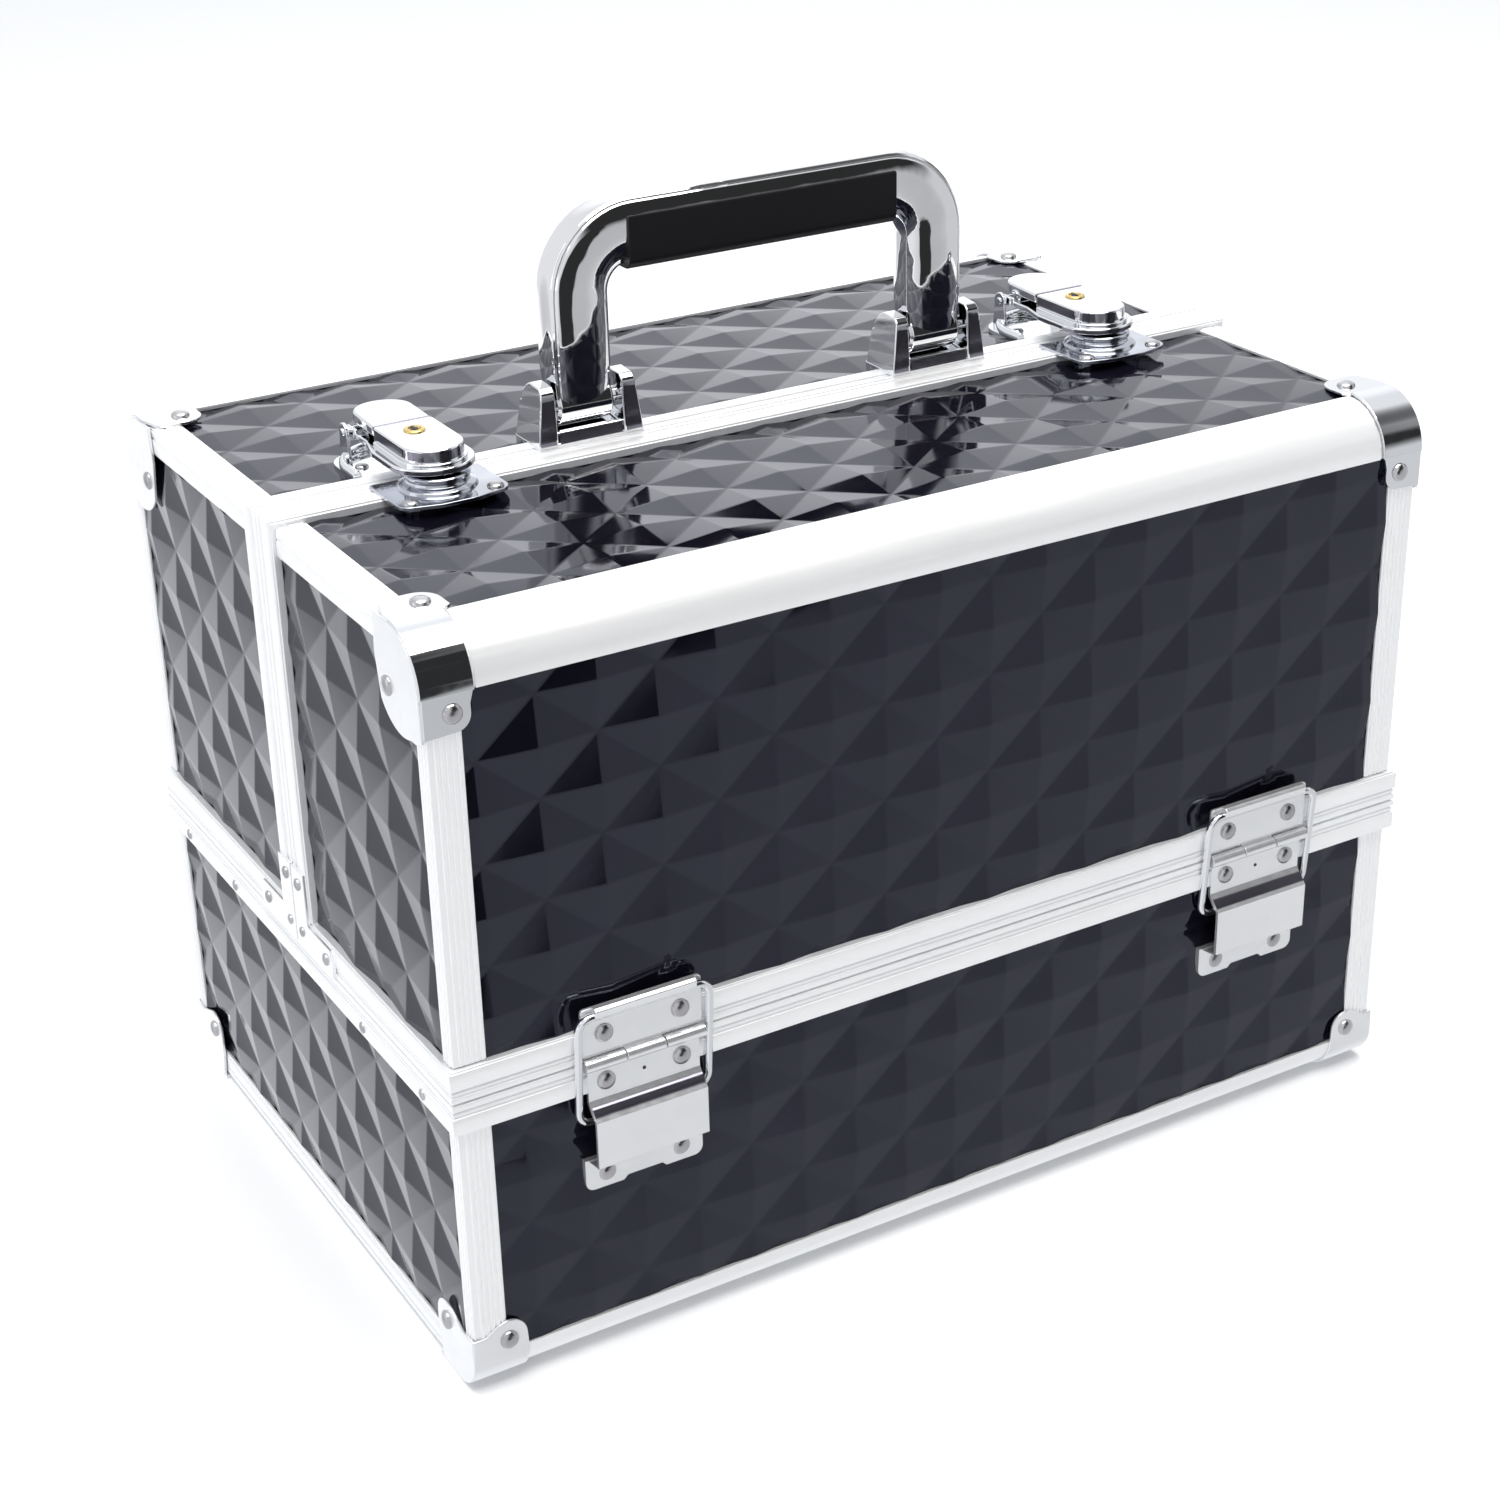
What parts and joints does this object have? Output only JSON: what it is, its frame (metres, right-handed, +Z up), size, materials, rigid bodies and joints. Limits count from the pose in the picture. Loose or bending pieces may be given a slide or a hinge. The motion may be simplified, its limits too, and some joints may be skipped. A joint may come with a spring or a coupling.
{
  "type": "makeup train case",
  "caption": "Rectangular aluminium-framed cosmetic case whose two upper halves open outwards on hinges, with level-swinging trays, a folding top handle and key latches.",
  "frame": {"origin": "centre of the case's footprint, on the surface it stands on", "axes": "+X along the case to its right, -Y towards the front half with the latch strikes, +Z up"},
  "size_m": [0.366, 0.2554, 0.332],
  "materials": {
    "panel": "black embossed sheet on board",
    "aluminium": "satin",
    "chrome": "bright",
    "steel": "zinc plated",
    "grip": "matte",
    "brass": "polished",
    "tray": "matte"
  },
  "bodies": {
    "base": {"base_shell": "panel", "base_edge_frame": "aluminium", "base_rim": "aluminium", "bottom_bracket_front_left": "steel", "front_hinge_lower_leaf_left": "steel", "bottom_bracket_front_right": "steel", "front_hinge_lower_leaf_right": "steel", "bottom_bracket_rear_left": "steel", "rear_hinge_lower_leaf_left": "steel", "bottom_bracket_rear_right": "steel", "rear_hinge_lower_leaf_right": "steel"},
    "front_half": {"front_half_shell": "panel", "front_half_edge_frame": "aluminium", "front_half_rim": "aluminium", "top_bracket_front_left": "chrome", "front_rim_plate_left": "steel", "front_hinge_upper_leaf_left": "steel", "latch_strike_left": "chrome", "top_bracket_front_right": "chrome", "front_rim_plate_right": "steel", "front_hinge_upper_leaf_right": "steel", "latch_strike_right": "chrome"},
    "front_bail_left": {"front_hinge_bail_left": "chrome"},
    "front_bail_right": {"front_hinge_bail_right": "chrome"},
    "front_lower_tray_body": {"front_lower_tray": "tray"},
    "front_upper_tray_body": {"front_upper_tray": "tray"},
    "front_link_left": {"front_tray_link_left": "steel"},
    "front_link_right": {"front_tray_link_right": "steel"},
    "rear_half": {"rear_half_shell": "panel", "rear_half_edge_frame": "aluminium", "rear_half_rim": "aluminium", "top_bracket_rear_left": "chrome", "rear_rim_plate_left": "steel", "rear_hinge_upper_leaf_left": "steel", "latch_base_left": "chrome", "handle_bracket_left": "chrome", "top_bracket_rear_right": "chrome", "rear_rim_plate_right": "steel", "rear_hinge_upper_leaf_right": "steel", "latch_base_right": "chrome", "handle_bracket_right": "chrome"},
    "rear_bail_left": {"rear_hinge_bail_left": "chrome"},
    "rear_bail_right": {"rear_hinge_bail_right": "chrome"},
    "rear_lower_tray_body": {"rear_lower_tray": "tray"},
    "rear_upper_tray_body": {"rear_upper_tray": "tray"},
    "rear_link_left": {"rear_tray_link_left": "steel"},
    "rear_link_right": {"rear_tray_link_right": "steel"},
    "handle": {"handle_bow": "chrome", "handle_grip": "grip"},
    "hasp_left": {"latch_hasp_left": "chrome"},
    "thumb_tab_left": {"latch_tab_left": "chrome"},
    "key_cylinder_left": {"latch_cylinder_left": "brass"},
    "hasp_right": {"latch_hasp_right": "chrome"},
    "thumb_tab_right": {"latch_tab_right": "chrome"},
    "key_cylinder_right": {"latch_cylinder_right": "brass"}
  },
  "joints": [
    {"name": "front_half_open", "type": "hinge", "parent": "base", "child": "front_half", "pos_m": [0, -0.1238, 0.1077], "axis": [1, 0, 0], "range_deg": [0, 90]},
    {"name": "front_bail_left_swing", "type": "hinge", "parent": "front_half", "child": "front_bail_left", "pos_m": [-0.119, -0.125, 0.125], "axis": [1, 0, 0], "range_deg": [-63, 0]},
    {"name": "front_bail_right_swing", "type": "hinge", "parent": "front_half", "child": "front_bail_right", "pos_m": [0.119, -0.125, 0.125], "axis": [1, 0, 0], "range_deg": [-63, 0]},
    {"name": "front_lower_tray_level", "type": "hinge", "parent": "front_half", "child": "front_lower_tray_body", "pos_m": [0, -0.0818, 0.1397], "axis": [1, 0, 0], "range_deg": [-90, 0]},
    {"name": "front_upper_tray_level", "type": "hinge", "parent": "front_half", "child": "front_upper_tray_body", "pos_m": [0, -0.0358, 0.1747], "axis": [1, 0, 0], "range_deg": [-90, 0]},
    {"name": "front_link_left_swing", "type": "hinge", "parent": "base", "child": "front_link_left", "pos_m": [-0.1688, -0.1038, 0.1007], "axis": [1, 0, 0], "range_deg": [0, 90]},
    {"name": "front_link_right_swing", "type": "hinge", "parent": "base", "child": "front_link_right", "pos_m": [0.1688, -0.1038, 0.1007], "axis": [1, 0, 0], "range_deg": [0, 90]},
    {"name": "rear_half_open", "type": "hinge", "parent": "base", "child": "rear_half", "pos_m": [0, 0.1238, 0.1077], "axis": [-1, 0, 0], "range_deg": [0, 90]},
    {"name": "rear_bail_left_swing", "type": "hinge", "parent": "rear_half", "child": "rear_bail_left", "pos_m": [-0.119, 0.125, 0.125], "axis": [-1, 0, 0], "range_deg": [-63, 0]},
    {"name": "rear_bail_right_swing", "type": "hinge", "parent": "rear_half", "child": "rear_bail_right", "pos_m": [0.119, 0.125, 0.125], "axis": [-1, 0, 0], "range_deg": [-63, 0]},
    {"name": "rear_lower_tray_level", "type": "hinge", "parent": "rear_half", "child": "rear_lower_tray_body", "pos_m": [0, 0.0818, 0.1397], "axis": [-1, 0, 0], "range_deg": [-90, 0]},
    {"name": "rear_upper_tray_level", "type": "hinge", "parent": "rear_half", "child": "rear_upper_tray_body", "pos_m": [0, 0.0358, 0.1747], "axis": [-1, 0, 0], "range_deg": [-90, 0]},
    {"name": "rear_link_left_swing", "type": "hinge", "parent": "base", "child": "rear_link_left", "pos_m": [-0.1688, 0.1038, 0.1007], "axis": [-1, 0, 0], "range_deg": [0, 90]},
    {"name": "rear_link_right_swing", "type": "hinge", "parent": "base", "child": "rear_link_right", "pos_m": [0.1688, 0.1038, 0.1007], "axis": [-1, 0, 0], "range_deg": [0, 90]},
    {"name": "handle_fold", "type": "hinge", "parent": "rear_half", "child": "handle", "pos_m": [0, 0.0035, 0.267], "axis": [1, 0, 0], "range_deg": [-75, 75]},
    {"name": "hasp_left_lift", "type": "hinge", "parent": "rear_half", "child": "hasp_left", "pos_m": [-0.1265, 0.025, 0.2645], "axis": [-1, 0, 0], "range_deg": [0, 90]},
    {"name": "thumb_tab_left_press", "type": "hinge", "parent": "hasp_left", "child": "thumb_tab_left", "pos_m": [-0.1265, 0.025, 0.2645], "axis": [-1, 0, 0], "range_deg": [0, 15], "stiffness_Nm_per_rad": 0.05},
    {"name": "key_cylinder_left_turn", "type": "hinge", "parent": "hasp_left", "child": "key_cylinder_left", "pos_m": [-0.1265, -0.002, 0.2717], "axis": [0, 0, 1], "range_deg": [0, 90]},
    {"name": "hasp_right_lift", "type": "hinge", "parent": "rear_half", "child": "hasp_right", "pos_m": [0.1265, 0.025, 0.2645], "axis": [-1, 0, 0], "range_deg": [0, 90]},
    {"name": "thumb_tab_right_press", "type": "hinge", "parent": "hasp_right", "child": "thumb_tab_right", "pos_m": [0.1265, 0.025, 0.2645], "axis": [-1, 0, 0], "range_deg": [0, 15], "stiffness_Nm_per_rad": 0.05},
    {"name": "key_cylinder_right_turn", "type": "hinge", "parent": "hasp_right", "child": "key_cylinder_right", "pos_m": [0.1265, -0.002, 0.2717], "axis": [0, 0, 1], "range_deg": [0, 90]}
  ],
  "couplings": [
    {"joint": "front_bail_left_swing", "follows": "front_half_open", "ratio": -0.68},
    {"joint": "front_bail_right_swing", "follows": "front_half_open", "ratio": -0.68},
    {"joint": "front_lower_tray_level", "follows": "front_half_open", "ratio": -1},
    {"joint": "front_upper_tray_level", "follows": "front_half_open", "ratio": -1},
    {"joint": "front_link_left_swing", "follows": "front_half_open", "ratio": 1},
    {"joint": "front_link_right_swing", "follows": "front_half_open", "ratio": 1},
    {"joint": "rear_half_open", "follows": "front_half_open", "ratio": 1},
    {"joint": "rear_bail_left_swing", "follows": "front_half_open", "ratio": -0.68},
    {"joint": "rear_bail_right_swing", "follows": "front_half_open", "ratio": -0.68},
    {"joint": "rear_lower_tray_level", "follows": "front_half_open", "ratio": -1},
    {"joint": "rear_upper_tray_level", "follows": "front_half_open", "ratio": -1},
    {"joint": "rear_link_left_swing", "follows": "front_half_open", "ratio": 1},
    {"joint": "rear_link_right_swing", "follows": "front_half_open", "ratio": 1}
  ]
}
